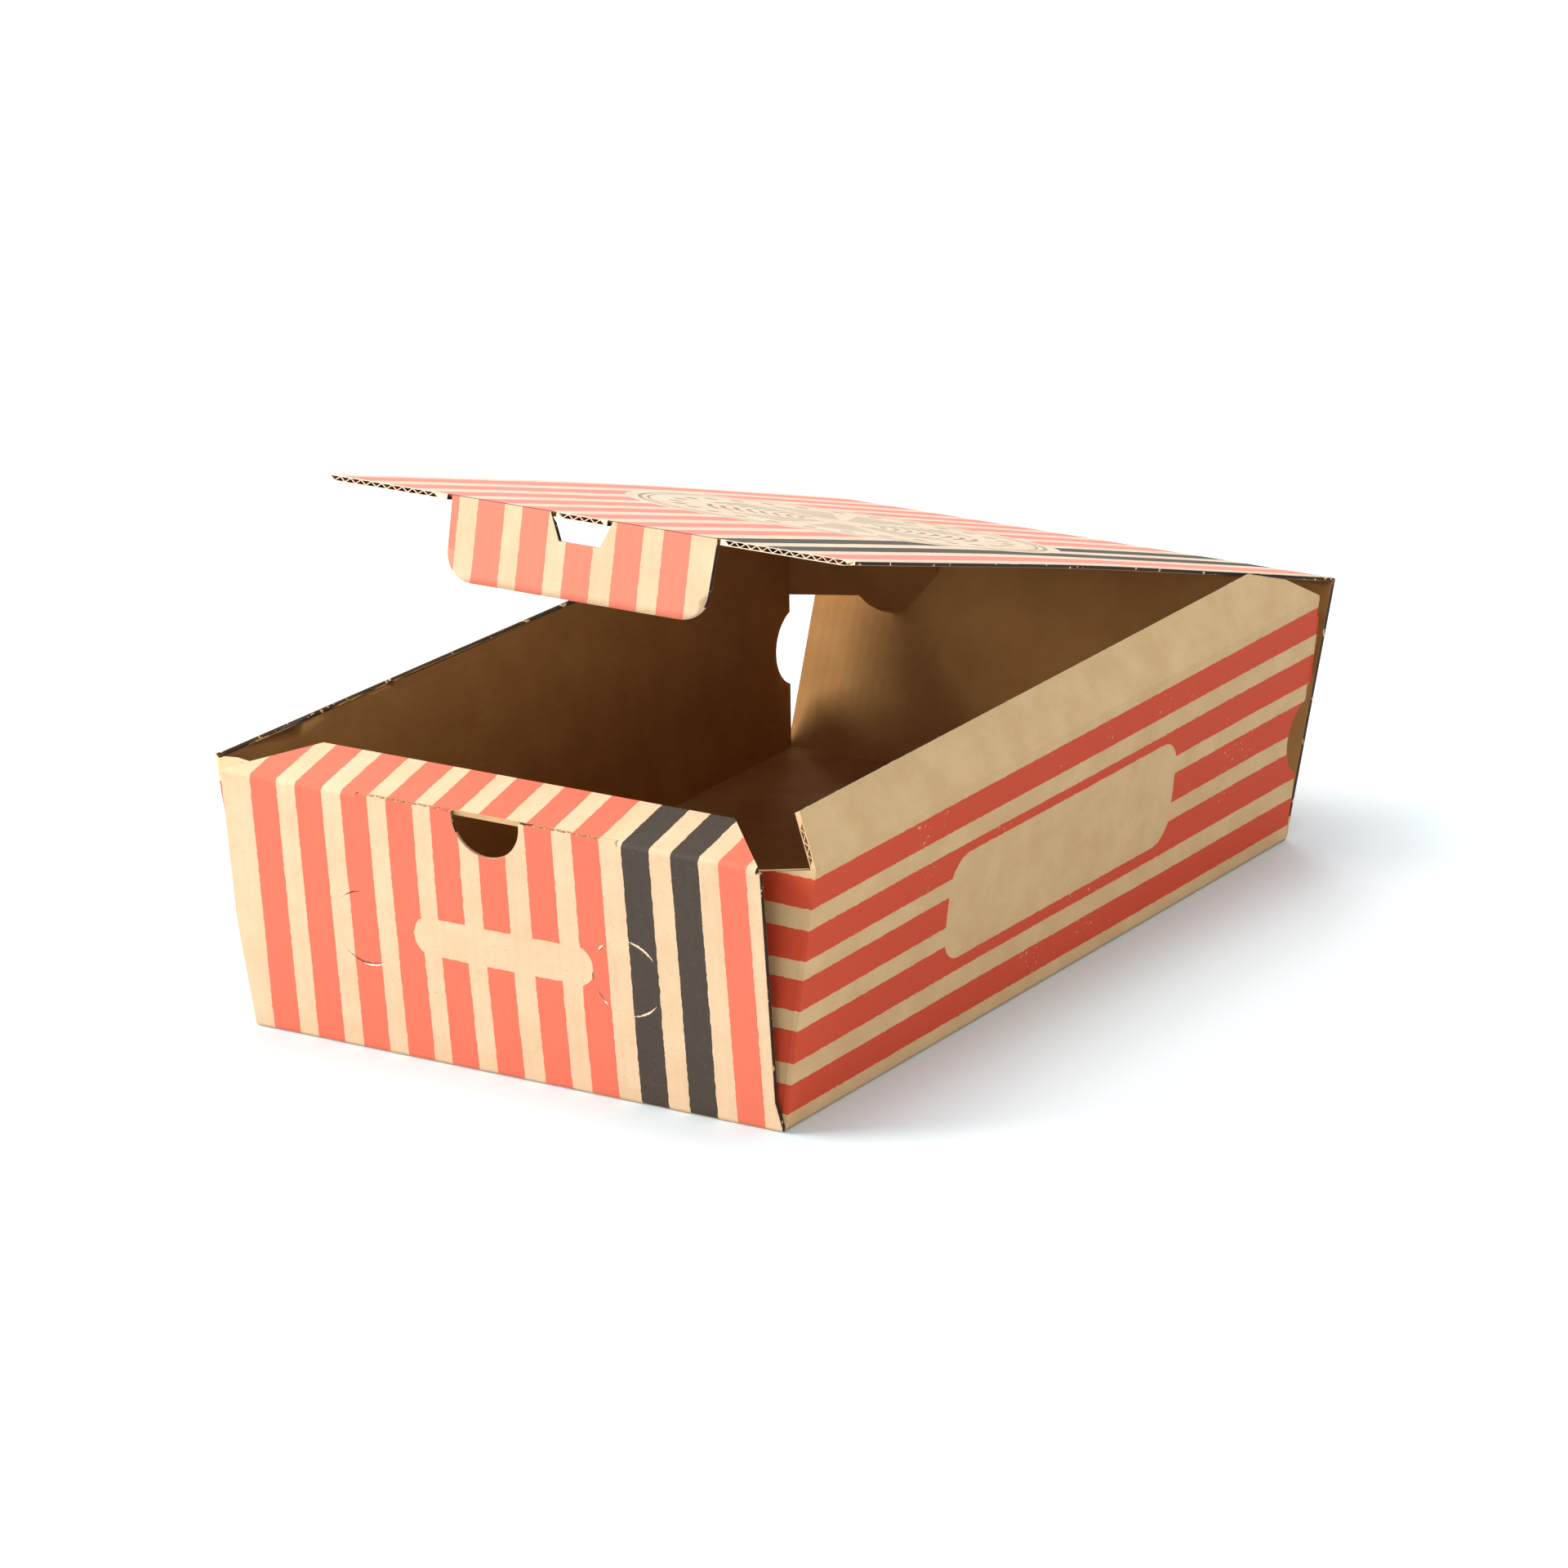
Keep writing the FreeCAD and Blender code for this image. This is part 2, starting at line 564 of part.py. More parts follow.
# Tuck flap with rounded corners and the window at its crease.
tuck = make_body("tuck_flap")
tuck_sketch = outline(tuck, "tuck_outline", "XY_Plane", [
    ("$tuck_middle - $tuck_half", "$crease_gap"), ("$tuck_middle + $tuck_half", "$crease_gap"),
    ("$tuck_middle + $tuck_half - 1.6", "$tuck_length"),
    ("$tuck_middle - $tuck_half + 0.3", "$tuck_length")])
pad(tuck, "tuck_pad", tuck_sketch, "$board")
tuck_mitre = outline(tuck, "tuck_crease_mitre", "YZ_Plane", [
    ("$crease_gap", "0"), ("-1", "0"), ("-1", "$board + 0.5"),
    ("$crease_gap + ($board + 0.5) * tan($tuck_mitre)", "$board + 0.5")])
pocket(tuck, "tuck_mitre_cut", tuck_mitre)
window = outline(tuck, "tuck_window", "XY_Plane", [
    ("$tuck_middle - 0.6 - $window_top / 2", "-2"), ("$tuck_middle - 0.6 + $window_top / 2", "-2"),
    ("$tuck_middle - 0.6 + $window_top / 2", "0.6"),
    ("$tuck_middle - 0.6 + $window_foot / 2", "$window_drop"),
    ("$tuck_middle - 0.6 - $window_foot / 2", "$window_drop"),
    ("$tuck_middle - 0.6 - $window_top / 2", "0.6")])
window_cut = pocket(tuck, "tuck_window_cut", window)
rounded = []
for index, edge in enumerate(window_cut.Shape.Edges, start=1):
    ends = [vertex.Point for vertex in edge.Vertexes]
    if len(ends) == 2 and min(ends[0].y, ends[1].y) > size("tuck_length") - 0.1:
        if abs(ends[0].x - ends[1].x) < 0.1 and abs(ends[0].z - ends[1].z) > 1:
            rounded.append("Edge%d" % index)
corner = tuck.newObject("PartDesign::Fillet", "tuck_corners")
corner.Base = (window_cut, rounded)
corner.setExpression("Radius", bound("$tuck_corner"))
flute_mouths(tuck, "tuck_flutes", "XZ_Plane", "-$tuck_length",
             "$tuck_middle - $tuck_half + $tuck_corner + 0.5", "2 * $tuck_half - 2 * $tuck_corner - 2.6",
             "0", "$board", reverse=True)
tip_y = "(%s - $lid_length * cos($lid_open))" % hinge_y
tip_z = "(%s + $lid_length * sin($lid_open))" % hinge_z
tuck.setExpression("Placement", turned_about_x("0", tip_y, tip_z, "180 - $lid_open + $tuck_fold"))
doc.recompute()

pieces = {"tray": tray, "lid": lid, "tuck_flap": tuck}
failed = [item.Name for item in doc.Objects if {"Invalid", "Error"} & set(item.State)]
if failed:
    raise RuntimeError("failed objects: " + ", ".join(failed))
for name, piece in pieces.items():
    shape = piece.Shape
    if shape.isNull() or not shape.isValid() or len(shape.Solids) != 1:
        raise RuntimeError("bad shape: %s, %d solids" % (name, len(shape.Solids)))
    shape.exportStep("parts/%s.step" % name)
    box = shape.BoundBox
    print(name, len(shape.Faces), len(shape.tessellate(0.1)[1]), round(shape.Volume), [round(v, 2) for v in (
        box.XMin, box.YMin, box.ZMin, box.XMax, box.YMax, box.ZMax)])
print("hinge", lid.Placement.Base, "tip", tuck.Placement.Base)
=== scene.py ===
import bmesh
import bpy
import math
import numpy as np
from mathutils import Matrix, Vector


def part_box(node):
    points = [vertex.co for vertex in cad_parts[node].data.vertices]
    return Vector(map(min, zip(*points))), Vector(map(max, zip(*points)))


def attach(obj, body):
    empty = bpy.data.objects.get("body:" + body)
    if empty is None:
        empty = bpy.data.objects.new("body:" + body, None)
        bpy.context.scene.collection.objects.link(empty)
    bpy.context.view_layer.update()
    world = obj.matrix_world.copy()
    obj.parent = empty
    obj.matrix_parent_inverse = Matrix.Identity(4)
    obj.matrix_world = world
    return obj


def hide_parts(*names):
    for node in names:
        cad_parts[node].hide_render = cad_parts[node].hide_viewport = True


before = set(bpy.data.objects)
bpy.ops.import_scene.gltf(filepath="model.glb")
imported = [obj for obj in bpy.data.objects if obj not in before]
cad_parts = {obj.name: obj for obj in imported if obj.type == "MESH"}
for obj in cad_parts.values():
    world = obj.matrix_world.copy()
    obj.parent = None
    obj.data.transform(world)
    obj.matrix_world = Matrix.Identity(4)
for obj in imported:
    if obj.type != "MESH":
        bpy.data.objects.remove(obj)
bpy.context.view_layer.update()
print("frame loaded")


def linear(hexColour):
    # sRGB hex to the linear values that sockets take
    parts = [int(hexColour[i:i + 2], 16) / 255 for i in (0, 2, 4)]
    return [c / 12.92 if c <= 0.04045 else ((c + 0.055) / 1.055) ** 2.4 for c in parts] + [1.0]


def addNode(tree, kind, inputs=None, **settings):
    # a node with its settings; an input is a value or another node's output socket
    made = tree.nodes.new(kind)
    for key, value in settings.items():
        setattr(made, key, value)
    for key, value in (inputs or {}).items():
        if isinstance(value, bpy.types.NodeSocket):
            tree.links.new(value, made.inputs[key])
        else:
            made.inputs[key].default_value = value
    return made


# Camera at the photograph's place, in metres: a long lens about 2.4 m from the box.
camera = {
    "place": (1.207246, -1.929242, 0.798127),
    "right": (0.85006968, 0.5264827, -0.01405368),
    "up": (-0.15468876, 0.27509288, 0.94889161),
    "back": (0.50344108, -0.80445005, 0.31528907),
    "lens": 202.44,
    "sensor": 36,
}
cameraData = bpy.data.cameras.new("camera")
cameraData.lens = camera["lens"]
cameraData.sensor_width = camera["sensor"]
cameraObject = bpy.data.objects.new("camera", cameraData)
bpy.context.scene.collection.objects.link(cameraObject)
turned = Matrix([camera["right"], camera["up"], camera["back"]]).transposed().to_4x4()
cameraObject.matrix_world = Matrix.Translation(camera["place"]) @ turned
bpy.context.scene.camera = cameraObject
bpy.context.scene.view_settings.view_transform = "Standard"
print("camera placed")


# The folded sheet as the part's source has it, in millimetres and degrees.
board = 1.6
sheet = {
    # the floor's folds, and how far each wall leans out
    "foldX": 80.9, "foldY": 133.4,
    "frontLean": 6.0, "backLean": 21.5, "rightLean": 7.7, "leftLean": (11.7, 0.5),
    # the left wall's lean changes from its front end over this length
    "leftStart": -133.0, "leftLength": 267.0,
    # points on the creases at the walls' tops, and the angles of what is folded there
    "flapFold": (0, -140.83, 72.33), "flapRise": 13.6,
    "dustFold": (90.49, 0, 72.53), "dustLean": 27.0,
    "lidFold": (161.8998, 69.5854), "lidOpen": 15.9,
    "tuckFold": (-95.4622, 142.8969), "tuckTurn": -76.9,
    # each panel's length from its fold
    "front": 71.1, "frontFlap": 19.1, "back": 73.7, "right": 71.6, "left": 72.0, "dust": 14.6, "tabs": 71.6,
    "lid": 267.6, "tuck": 22.4,
    # each panel's range along its fold
    "frontWide": (-86, 83), "backWide": (-81, 81), "sideWide": (-134, 134), "lidWide": (-82, 82),
    "tuckWide": (-42, 42),
    # corner tabs: a point at the foot, and the range along the tab; the rear ones turn this far inwards
    "cornerTabs": {"frontTabRight": ((68, -131.5), (-12, 24)), "frontTabLeft": ((-68, -131.9), (-28, 12)),
                   "rearTabRight": ((82.5, 134.1), (0, 44)), "rearTabLeft": ((-82.5, 134.1), (0, 44))},
    "rearTurn": 27.0,
    # height on the blank of a point on a corner tab: (z - first) / second
    "tabRise": {"Right": (1.39, 0.991), "Left": (1.28, 0.979)},
    # the crease that the side's bands are counted from, and how much lower the left wall's bands lie
    "sideCrease": 73.5, "leftDrop": -4.3,
    # in front of this y the side walls turn into their tabs, and these ways look out at the corner
    "cornerStart": -125,
    "corners": {"right": ((0.5, -0.866, 0), (0, -1, 0)), "frontTabRight": ((0.5, -0.866, 0), (1, 0, 0)),
                "left": ((-0.5, -0.866, 0), (0, -1, 0)), "frontTabLeft": ((-0.5, -0.866, 0), (-1, 0, 0))},
    # parts of the blank with no artwork: this far to the side, or above, it lies outside every mask
    "bareFloor": 1000.0, "bareTab": 200.0, "bareBack": 200.0,
}


def panel(point, up, out, side, reach, width, across="x"):
    # inner face's point, way up from the fold, way out, way along the fold, length and range along the fold
    return {"point": np.array(point, float), "up": np.array(up, float), "out": np.array(out, float),
            "side": np.array(side, float), "reach": reach, "width": width, "across": across}


def leaning(x, y, lean, away):
    # point, up and out of a panel that stands on the floor's fold and leans out along x or y
    s, c = math.sin(math.radians(lean)), math.cos(math.radians(lean))
    ax, ay = away
    return (x, y, board), (ax * s, ay * s, c), (ax * c, ay * c, -s)


def hanging(fold, angle):
    # point, up and out of a panel that is hinged at a crease along x, given by y and z of its outer face
    s, c = math.sin(math.radians(angle)), math.cos(math.radians(angle))
    return (0, fold[0] - board * s, fold[1] - board * c), (0, -c, s), (0, s, c)


def cornerTab(name, up, out, side):
    foot, wide = sheet["cornerTabs"][name]
    return panel((*foot, board), up, out, side, sheet["tabs"], wide, "up")


alongX, alongY, upwards = (1, 0, 0), (0, 1, 0), (0, 0, 1)
foldX, foldY = sheet["foldX"], sheet["foldY"]
frontUp = leaning(0, -foldY, sheet["frontLean"], (0, -1))
flapSin, flapCos = math.sin(math.radians(sheet["flapRise"])), math.cos(math.radians(sheet["flapRise"]))
dustSin, dustCos = math.sin(math.radians(sheet["dustLean"])), math.cos(math.radians(sheet["dustLean"]))
rearSin, rearCos = math.sin(math.radians(sheet["rearTurn"])), math.cos(math.radians(sheet["rearTurn"]))
trayPanels = {
    "floor": panel((0, 0, board), alongY, (0, 0, -1), alongX, foldY, (-foldX, foldX)),
    "floorFront": panel((0, 0, board), (0, -1, 0), (0, 0, -1), alongX, foldY, (-foldX, foldX)),
    "front": panel(*frontUp, alongX, sheet["front"], sheet["frontWide"]),
    "frontFlap": panel(sheet["flapFold"], (0, flapCos, flapSin), (0, -flapSin, flapCos), alongX,
                       sheet["frontFlap"], sheet["frontWide"]),
    "back": panel(*leaning(0, foldY, sheet["backLean"], (0, 1)), alongX, sheet["back"], sheet["backWide"]),
    "right": panel(*leaning(foldX, 0, sheet["rightLean"], (1, 0)), alongY, sheet["right"],
                   sheet["sideWide"], "up"),
    "dust": panel(sheet["dustFold"], (-dustSin, 0, dustCos), (dustCos, 0, dustSin), alongY,
                  sheet["dust"], sheet["sideWide"], "up"),
    "frontTabRight": cornerTab("frontTabRight", upwards, (0, -1, 0), alongX),
    "frontTabLeft": cornerTab("frontTabLeft", frontUp[1], frontUp[2], alongX),
    "rearTabRight": cornerTab("rearTabRight", upwards, (rearSin, rearCos, 0), (-rearCos, rearSin, 0)),
    "rearTabLeft": cornerTab("rearTabLeft", upwards, (-rearSin, rearCos, 0), (rearCos, rearSin, 0)),
    # its directions change along its length, so leftFrame works them out
    "left": {"across": "up"},
}
lidPanels = {"lid": panel(*hanging(sheet["lidFold"], sheet["lidOpen"]), alongX, sheet["lid"], sheet["lidWide"])}
tuckPanels = {"tuck": panel(*hanging(sheet["tuckFold"], sheet["tuckTurn"]), alongX, sheet["tuck"],
                            sheet["tuckWide"])}


def leftFrame(y):
    # the left wall's ways up and out at each y
    share = np.clip((y - sheet["leftStart"]) / sheet["leftLength"], 0, 1)
    first, last = sheet["leftLean"]
    lean = np.radians(first + (last - first) * share)
    zero = np.zeros_like(lean)
    up = np.stack([-np.sin(lean), zero, np.cos(lean)], -1)
    out = np.stack([-np.cos(lean), zero, -np.sin(lean)], -1)
    return up, out


def measured(points, name, values):
    # distances of points from a panel: through the board, up from the fold and along it; then its size
    if name == "left":
        up, out = leftFrame(points[:, 1])
        off = points - np.array((-foldX, 0, board))
        return (off * out).sum(1), (off * up).sum(1), points[:, 1], sheet["left"], sheet["sideWide"]
    off = points - values["point"]
    return off @ values["out"], off @ values["up"], off @ values["side"], values["reach"], values["width"]


def nearestPanel(points, panels):
    # For each point the panel whose slab it is in or closest to.
    farAway = 10.0
    costs = []
    for name, values in panels.items():
        through, up, along, reach, width = measured(points, name, values)
        beyond = np.maximum(0, -up) + np.maximum(0, up - reach)
        beyond += np.maximum(0, width[0] - along) + np.maximum(0, along - width[1])
        cost = np.abs(through - board / 2) + beyond
        if "rearTab" in name:
            # the rear tabs end at the back wall's inner face, so nothing in or behind that wall is theirs
            back = measured(points, "back", panels["back"])
            cost += farAway * ((back[0] > -0.05) & (np.abs(back[2]) < sheet["backWide"][1]))
        costs.append(cost)
    return np.argmin(np.array(costs), 0)


def readAll(items, label, width=1, kind=float):
    # one property of all of a mesh's items as an array
    numbers = np.zeros(len(items) * width, kind)
    items.foreach_get(label, numbers)
    return numbers.reshape(-1, width) if width > 1 else numbers


def cutCopy(nodeName, name, gaps):
    # A merged copy of the CAD node, its flat faces joined and then cut across at these gaps along x, y and z.
    tiny, nearlyFlat, shift = 1e-6, 0.0035, 0.00031
    made = bmesh.new()
    made.from_mesh(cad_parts[nodeName].data)
    bmesh.ops.remove_doubles(made, verts=made.verts, dist=tiny)
    bmesh.ops.dissolve_limit(made, angle_limit=nearlyFlat, verts=made.verts, edges=made.edges)
    low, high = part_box(nodeName)
    for axis in range(3):
        step = gaps[axis] / 1000
        normal = [0, 0, 0]
        normal[axis] = 1
        for count in range(math.ceil(low[axis] / step), math.floor(high[axis] / step) + 1):
            place = [0, 0, 0]
            place[axis] = count * step + shift
            everything = made.verts[:] + made.edges[:] + made.faces[:]
            bmesh.ops.bisect_plane(made, geom=everything, dist=tiny, plane_co=place, plane_no=normal)
    mesh = bpy.data.meshes.new(name)
    made.to_mesh(mesh)
    made.free()
    copy = bpy.data.objects.new(name, mesh)
    bpy.context.scene.collection.objects.link(copy)
    return copy


def sheetCopy(nodeName, name, panels, gaps):
    # The cut copy with a material slot for each face, and two UV maps in millimetres: each corner's place on
    # the flat blank, and its depth in the board. Slots: 0 printed like the front, 1 printed like the side,
    # 2 the inside, 3 a raw edge along the flutes, 4 a raw edge across them.
    copy = cutCopy(nodeName, name, gaps)
    mesh = copy.data
    centres = readAll(mesh.polygons, "center", 3) * 1000
    normals = readAll(mesh.polygons, "normal", 3)
    loopFace = np.repeat(np.arange(len(centres)), readAll(mesh.polygons, "loop_total", kind=int))
    places = readAll(mesh.vertices, "co", 3) * 1000
    corners = places[readAll(mesh.loops, "vertex_index", kind=int)]
    owner = nearestPanel(centres, panels)
    slots = np.zeros(len(centres), int)
    blank = np.zeros((len(corners), 2))
    depth = np.zeros((len(corners), 2))
    for index, (panelName, values) in enumerate(panels.items()):
        mine = owner == index
        sideways = values["across"] == "up"
        if panelName == "left":
            facing = (normals * leftFrame(centres[:, 1])[1]).sum(1)
            fluteWay = np.array(alongY)
        else:
            facing = normals @ values["out"]
            fluteWay = values["side"] if sideways else values["up"]
        for way in sheet["corners"].get(panelName, ()):
            # a side wall and its corner tab turn into each other, so the clearest of three ways decides
            other = normals @ np.array(way)
            turning = (centres[:, 1] < sheet["cornerStart"]) & (np.abs(other) > np.abs(facing))
            facing = np.where(turning, other, facing)
        rawEdge = np.where(np.abs(normals @ fluteWay) > 0.5, 4, 3)
        kind = np.where(facing > 0.5, 1 if sideways else 0, np.where(facing < -0.5, 2, rawEdge))
        slots[mine] = kind[mine]
        mineLoops = mine[loopFace]
        spots = corners[mineLoops]
        through, up, along, reach, width = measured(spots, panelName, values)
        if "Tab" in panelName:
            first, second = sheet["tabRise"]["Right" if "Right" in panelName else "Left"]
            up = (spots[:, 2] - first) / second
            along = along + sheet["bareTab"]
        if panelName == "dust":
            laid = (-up, along)
        elif sideways:
            drop = sheet["leftDrop"] if panelName.lower().endswith("left") else 0.0
            laid = (sheet["sideCrease"] - board + drop - up, along)
        else:
            # the back wall has the stripes alone, and the floor's underside is bare
            beside = sheet["bareFloor"] if "floor" in panelName else 0.0
            above = sheet["bareBack"] if panelName == "back" else 0.0
            laid = (along + beside, reach - up + above)
        blank[mineLoops] = np.stack(laid, -1)
        depth[mineLoops, 0] = through
    mesh.polygons.foreach_set("material_index", slots)
    for label, numbers in (("blank", blank), ("depth", depth)):
        mesh.uv_layers.new(name=label).data.foreach_set("uv", numbers.ravel())
    mesh.uv_layers["blank"].active = True
    print(name, "has", len(centres), "faces")
    return copy, places


def bent(copy, places, panels, waves):
    # Each panel bows out a little between its folds: half a sine up and along, with a slow ripple on it.
    # offset = height * sin(pi * up / reach) * sin(pi * along / width)^ends * (1 + ripple * sin(along / length))
    owner = nearestPanel(places, panels)
    moved = places.copy()
    for index, (panelName, values) in enumerate(panels.items()):
        if panelName not in waves:
            continue
        wave = waves[panelName]
        mine = owner == index
        through, up, along, reach, width = measured(places[mine], panelName, values)
        # half a millimetre at the folds and a millimetre at the ends stay still
        upShare = np.clip((up - 0.5) / (reach - 1.0), 0, 1)
        endShare = np.clip((along - width[0] - 1) / (width[1] - width[0] - 2), 0, 1)
        fade = np.sin(np.pi * upShare) * np.sin(np.pi * endShare) ** wave["ends"]
        ripple = 1 + wave["ripple"] * np.sin(along / wave["length"] + up / 31 + wave["start"])
        out = leftFrame(places[mine][:, 1])[1] if panelName == "left" else values["out"]
        moved[mine] += out * (wave["height"] * fade * ripple)[:, None]
    copy.data.vertices.foreach_set("co", (moved / 1000).ravel())
    copy.data.update()


# Tray, in millimetres: spacing of the cuts, bowing of the walls, and the front wall's cuts.
trayValues = {
    "gaps": (6, 6, 6),
    "waves": {
        "front": {"height": 0.35, "ripple": 0.9, "length": 19, "start": 0.6, "ends": 0.7},
        "right": {"height": -0.45, "ripple": 0.8, "length": 33, "start": 2.2, "ends": 0.7},
        "left": {"height": -0.4, "ripple": 0.8, "length": 37, "start": 1.0, "ends": 0.7},
        "back": {"height": -0.3, "ripple": 0.8, "length": 23, "start": 0.3, "ends": 0.7},
    },
    # the slit's lip, whose flute mouths between low and high are pressed flat
    "lip": {"x": -2.4, "half": 39.0, "low": 68.0, "high": 72.5, "pressed": 72.3},
    # the thumb notch under the slit: how deep it bites the flap, where the flap's edge is, the crushed rim
    "notch": {"x": -2.4, "up": 71.8, "radius": 10.5, "bite": 5.2, "flapEdge": 0.12, "slitHalf": 40.6,
              "crushed": 0.75},
    # the two round vents, cut through but for their bridges, with kerfs that are closed between the arcs
    "vent": {"x": (-42.9, 38.1), "up": 34.4, "radius": 10.3, "kerf": 0.22, "closed": 0.03},
    # torn arcs of each vent: middle and half in degrees, width, how far out, and whether light liner shows; the
    # others are painted dark as the shade in the tear
    "arcs": (
        ((112, 16, 0.08, 0.0, False), (-100, 32, 0.24, 0.0, False), (-84, 17, 0.3, 0.4, True)),
        ((60, 25, 0.27, 0.3, True), (-60, 24, 0.23, 0.3, True), (134, 6, 0.36, 0.2, True),
         (-176, 7, 0.16, 0.1, False), (-143, 7, 0.18, 0.0, False), (-131, 4, 0.3, 0.2, True)),
    ),
    # how far the inner corner of the left wall's raw top edge has sunk, and where to look for it
    "topWorn": 1.0, "topAbove": 55, "topEnds": 133,
}


def frontWorked(places):
    # The flap's edge is drawn straight over the thumb notch, the notch's inner rim is crushed thinner, the
    # lip's mouths are pressed flat, and the vents' inner circles move out until the kerf closes:
    # width = closed + (kerf - closed) * (1 - ((turn - middle) / half)^2).
    lip, notch, vent = trayValues["lip"], trayValues["notch"], trayValues["vent"]
    flap, front = trayPanels["frontFlap"], trayPanels["front"]
    moved = places.copy()
    through, up, along, reach, width = measured(places, "frontFlap", flap)
    aside, inBoard = np.abs(along - notch["x"]), np.abs(through - board / 2)
    near = (aside < notch["radius"] + 0.02) & (inBoard < board / 2 + 0.1)
    near &= (up > notch["flapEdge"]) & (up < notch["bite"])
    near |= (aside < notch["slitHalf"]) & (np.abs(up - 0.5) < 0.04) & (inBoard < board / 2 + 0.1)
    moved[near] += flap["up"] * (notch["flapEdge"] - up[near])[:, None]
    through, up, along, reach, width = measured(places, "front", front)
    inBoard = np.abs(through - board / 2)
    far = np.hypot(along - notch["x"], up - notch["up"])
    rim = (np.abs(through) < 0.05) & (np.abs(far - notch["radius"]) < 0.05)
    moved[rim] += front["out"] * notch["crushed"]
    mouth = (np.abs(along - lip["x"]) < lip["half"]) & (inBoard < board / 2 - 0.03)
    mouth &= (up > lip["low"]) & (up < lip["high"]) & (far > notch["radius"] + 0.3)
    moved[mouth] += front["up"] * (lip["pressed"] - up[mouth])[:, None]
    flat = places - front["out"] * through[:, None]
    for x, arcs in zip(vent["x"], trayValues["arcs"]):
        far = np.hypot(along - x, up - vent["up"])
        turn = np.degrees(np.arctan2(up - vent["up"], along - x))
        inner = (np.abs(far - vent["radius"] + vent["kerf"]) < 0.04) & (inBoard < board)
        opened = np.zeros(len(places))
        for middle, half, wide, outwards, light in arcs:
            opened = np.maximum(opened, 1 - ((turn - middle) / half) ** 2)
        kerf = vent["closed"] + (vent["kerf"] - vent["closed"]) * np.clip(opened, 0, 1)
        grow = ((vent["radius"] - kerf) / far)[:, None]
        centre = front["point"] + front["side"] * x + front["up"] * vent["up"]
        moved[inner] += ((flat - centre) * (grow - 1))[inner]
    return moved


def leftTopWorn(places):
    # The left wall's top edge slopes down to the inside: its inner corner sinks at every y.
    up, out = leftFrame(places[:, 1])
    through, rise = measured(places, "left", trayPanels["left"])[:2]
    inner = np.abs(through) < 0.5
    # a station is as long as the cuts' spacing, so each holds points of the top edge
    stations = np.floor(places[:, 1] / trayValues["gaps"][1]).astype(int)
    stations -= stations.min()
    tops = np.zeros(stations.max() + 1)
    np.maximum.at(tops, stations[inner], rise[inner])
    corner = inner & (rise > trayValues["topAbove"]) & (rise > tops[stations] - 0.3)
    corner &= np.abs(places[:, 1]) < trayValues["topEnds"]
    moved = places.copy()
    moved[corner] -= up[corner] * trayValues["topWorn"]
    return moved


tray, trayPlaces = sheetCopy("tray", "traySheet", trayPanels, trayValues["gaps"])
bent(tray, leftTopWorn(frontWorked(trayPlaces)), trayPanels, trayValues["waves"])

# Lid, in millimetres: spacing of the cuts, bowing, and how much thinner its sides are.
lidValues = {
    "gaps": (6, 6, 40),
    "waves": {"lid": {"height": 1.0, "ripple": 0.12, "length": 30, "start": 0.4, "ends": 0}},
    "pressed": 0.6,
}


def sidesCrushed(places):
    # The lid's board is pressed thinner at its left and right edges by the cutting rule.
    through, up, along, reach, width = measured(places, "lid", lidPanels["lid"])
    corner = (np.abs(through) < 0.05) & ((along < along.min() + 0.05) | (along > along.max() - 0.05))
    moved = places.copy()
    moved[corner] += lidPanels["lid"]["out"] * lidValues["pressed"]
    return moved


lid, lidPlaces = sheetCopy("lid", "lidSheet", lidPanels, lidValues["gaps"])
bent(lid, sidesCrushed(lidPlaces), lidPanels, lidValues["waves"])

# Tuck flap, in millimetres: spacing of the cuts. It stays flat.
tuckValues = {"gaps": (3, 40, 3)}
tuck = sheetCopy("tuck_flap", "tuckSheet", tuckPanels, tuckValues["gaps"])[0]
print("sheets cut and bent")


# Kraft corrugated board: unbleached liners glued over a fine flute, matt, with short fibres and faint ribs.
kraft = {
    # face and side are one outer liner in two tones: face painted lighter as sheen on the front, side darker and
    # warmer as the side walls' shade
    # the lid's liner is painted paler and greyer as sheen from light grazing the lid
    "face": "E3C5A0", "faceDark": "DCBC95", "side": "DABB8C", "sideDark": "D2B080", "lid": "DFCAB1",
    # core is the dark of the flute hollows in raw edges and tears, painted as their shade
    # the inside is a darker brown inner liner, painted darker still as the shade inside the tray
    "lidDarkSheen": "D7BFA3", "insideWithShade": "A97C46", "insideDarkWithShade": "A0733E", "fibre": "A67C4C", "coreShade": "2C1B0D",
    "edge": "D9B586", "edgeCut": "C79F6E", "lidEdge": "EAD6BC", "lidEdgeCut": "E6D2B8", "torn": "EBD6BA",
    # how cloudiness and fibres turn into shares of the second colour: from, to, share at from, share at to
    "cloudShare": (0.35, 0.65, 0.0, 1.0), "fibreShare": (0.58, 0.74, 0.0, 0.4),
    # the hollow in a raw edge, painted dark as its shade: its middle and half its width, from the inner face, in
    # millimetres, and how much of it is open
    "hollow": (0.71, 0.69), "open": 0.66,
    "roughness": 0.75, "insideRoughness": 0.95, "ior": 1.47,
    # spacing and height of the ribs and height of the fibres, in millimetres
    "rib": 3.3, "ribHeight": 0.01, "fibreHeight": 0.04,
}
# Flexo ink: thin, matt, slightly broken over the fibres, with an edge that wanders by a third of a millimetre.
ink = {
    # the front's red is painted paler as sheen on the front, the side walls' red deeper as their shade: lit and
    # shaded copies of one ink
    "redWithSheen": "E06E53", "sideRedShaded": "CF4726", "lidRedSheen": "E28374", "tuckRedSheen": "E67F66", "black": "3E342A",
    # the lid's and tuck flap's reds are painted paler, and the lid's black art laid at a lower share, as sheen
    # from light grazing them
    "edge": 0.32, "artSheenShare": 0.6,
    # where fibres stand up the ink keeps this share
    "wear": (0.66, 0.76, 1.0, 0.7),
    # flakes that have come off: above this noise, in groups above this one, and the share lost
    "flake": 0.7, "group": 0.66, "lost": 0.8,
}
